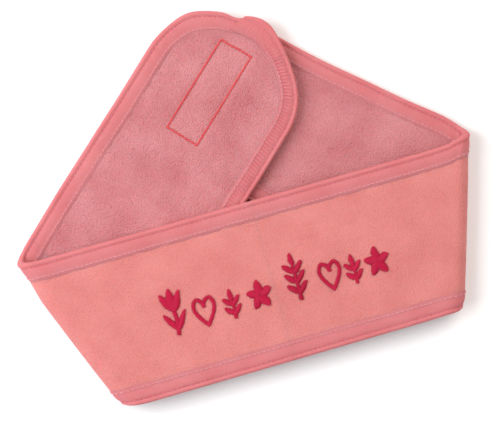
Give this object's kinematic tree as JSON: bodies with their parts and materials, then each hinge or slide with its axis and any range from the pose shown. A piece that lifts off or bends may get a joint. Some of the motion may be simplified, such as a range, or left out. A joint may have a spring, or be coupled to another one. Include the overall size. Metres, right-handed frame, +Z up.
{
  "type": "spa headband",
  "caption": "Soft terry headband with bound edges, embroidered front and hook-and-loop ends, lying folded flat with its ends crossed.",
  "frame": {"origin": "under the middle of the folded band, on the surface it lies on", "axes": "+X along the front panel, towards the fold of the rear panel; +Y from the front panel towards the crossed ends; +Z up"},
  "size_m": [0.25, 0.1854, 0.0183],
  "materials": {
    "velour_face": "short sheared pile",
    "terry_lining": "nubby loops",
    "binding_tape": "fine knit, folded over",
    "sewing_thread": "twisted thread",
    "embroidery_thread": "glossy satin stitch",
    "hook_tape": "moulded hooks",
    "loop_tape": "brushed loops"
  },
  "bodies": {
    "front_panel": {"front_face_cloth": "velour_face", "front_lining": "terry_lining", "front_upper_binding": "binding_tape", "front_lower_binding": "binding_tape", "front_upper_outer_seam": "sewing_thread", "front_upper_inner_seam": "sewing_thread", "front_lower_outer_seam": "sewing_thread", "front_lower_inner_seam": "sewing_thread", "ornament_1": "embroidery_thread", "ornament_2": "embroidery_thread", "ornament_3": "embroidery_thread", "ornament_4": "embroidery_thread", "ornament_5": "embroidery_thread", "ornament_6": "embroidery_thread", "ornament_7": "embroidery_thread", "ornament_8": "embroidery_thread", "left_fold_face_cloth": "velour_face", "left_fold_lining": "terry_lining", "left_fold_upper_binding": "binding_tape", "left_fold_lower_binding": "binding_tape", "right_fold_face_cloth": "velour_face", "right_fold_lining": "terry_lining", "right_fold_upper_binding": "binding_tape", "right_fold_lower_binding": "binding_tape"},
    "left_panel": {"left_face_cloth": "velour_face", "left_lining": "terry_lining", "left_upper_binding": "binding_tape", "left_lower_binding": "binding_tape", "left_upper_outer_seam": "sewing_thread", "left_upper_inner_seam": "sewing_thread", "left_lower_outer_seam": "sewing_thread", "left_lower_inner_seam": "sewing_thread"},
    "tab": {"tab_face_cloth": "velour_face", "tab_lining": "terry_lining", "tab_binding": "binding_tape", "tab_outer_seam": "sewing_thread", "tab_inner_seam": "sewing_thread", "binding_lap": "binding_tape", "hook_tape": "hook_tape", "hook_box_stitch": "sewing_thread"},
    "rear_panel": {"rear_face_cloth": "velour_face", "rear_lining": "terry_lining", "rear_binding": "binding_tape", "rear_outer_seam": "sewing_thread", "rear_inner_seam": "sewing_thread", "loop_tape": "loop_tape", "loop_box_stitch": "sewing_thread"}
  },
  "joints": [
    {"name": "right_fold", "type": "hinge", "parent": "front_panel", "child": "rear_panel", "pos_m": [0.10636, -0.0489, 0.00882], "axis": [-0.361, -0.9326, 0], "range_deg": [0, 175], "deforming": ["right_fold_face_cloth", "right_fold_lining", "right_fold_upper_binding", "right_fold_lower_binding"]},
    {"name": "left_fold", "type": "hinge", "parent": "front_panel", "child": "left_panel", "pos_m": [-0.10616, -0.04888, 0.00882], "axis": [-0.3649, 0.9311, 0], "range_deg": [0, 90], "deforming": ["left_fold_face_cloth", "left_fold_lining", "left_fold_upper_binding", "left_fold_lower_binding"]},
    {"name": "tab_peel", "type": "hinge", "parent": "left_panel", "child": "tab", "pos_m": [-0.02426, 0.02874, 0.01225], "axis": [0.6794, -0.7337, 0], "range_deg": [0, 110]}
  ],
  "couplings": [
    {"joint": "left_fold", "follows": "right_fold", "ratio": 0.5}
  ]
}
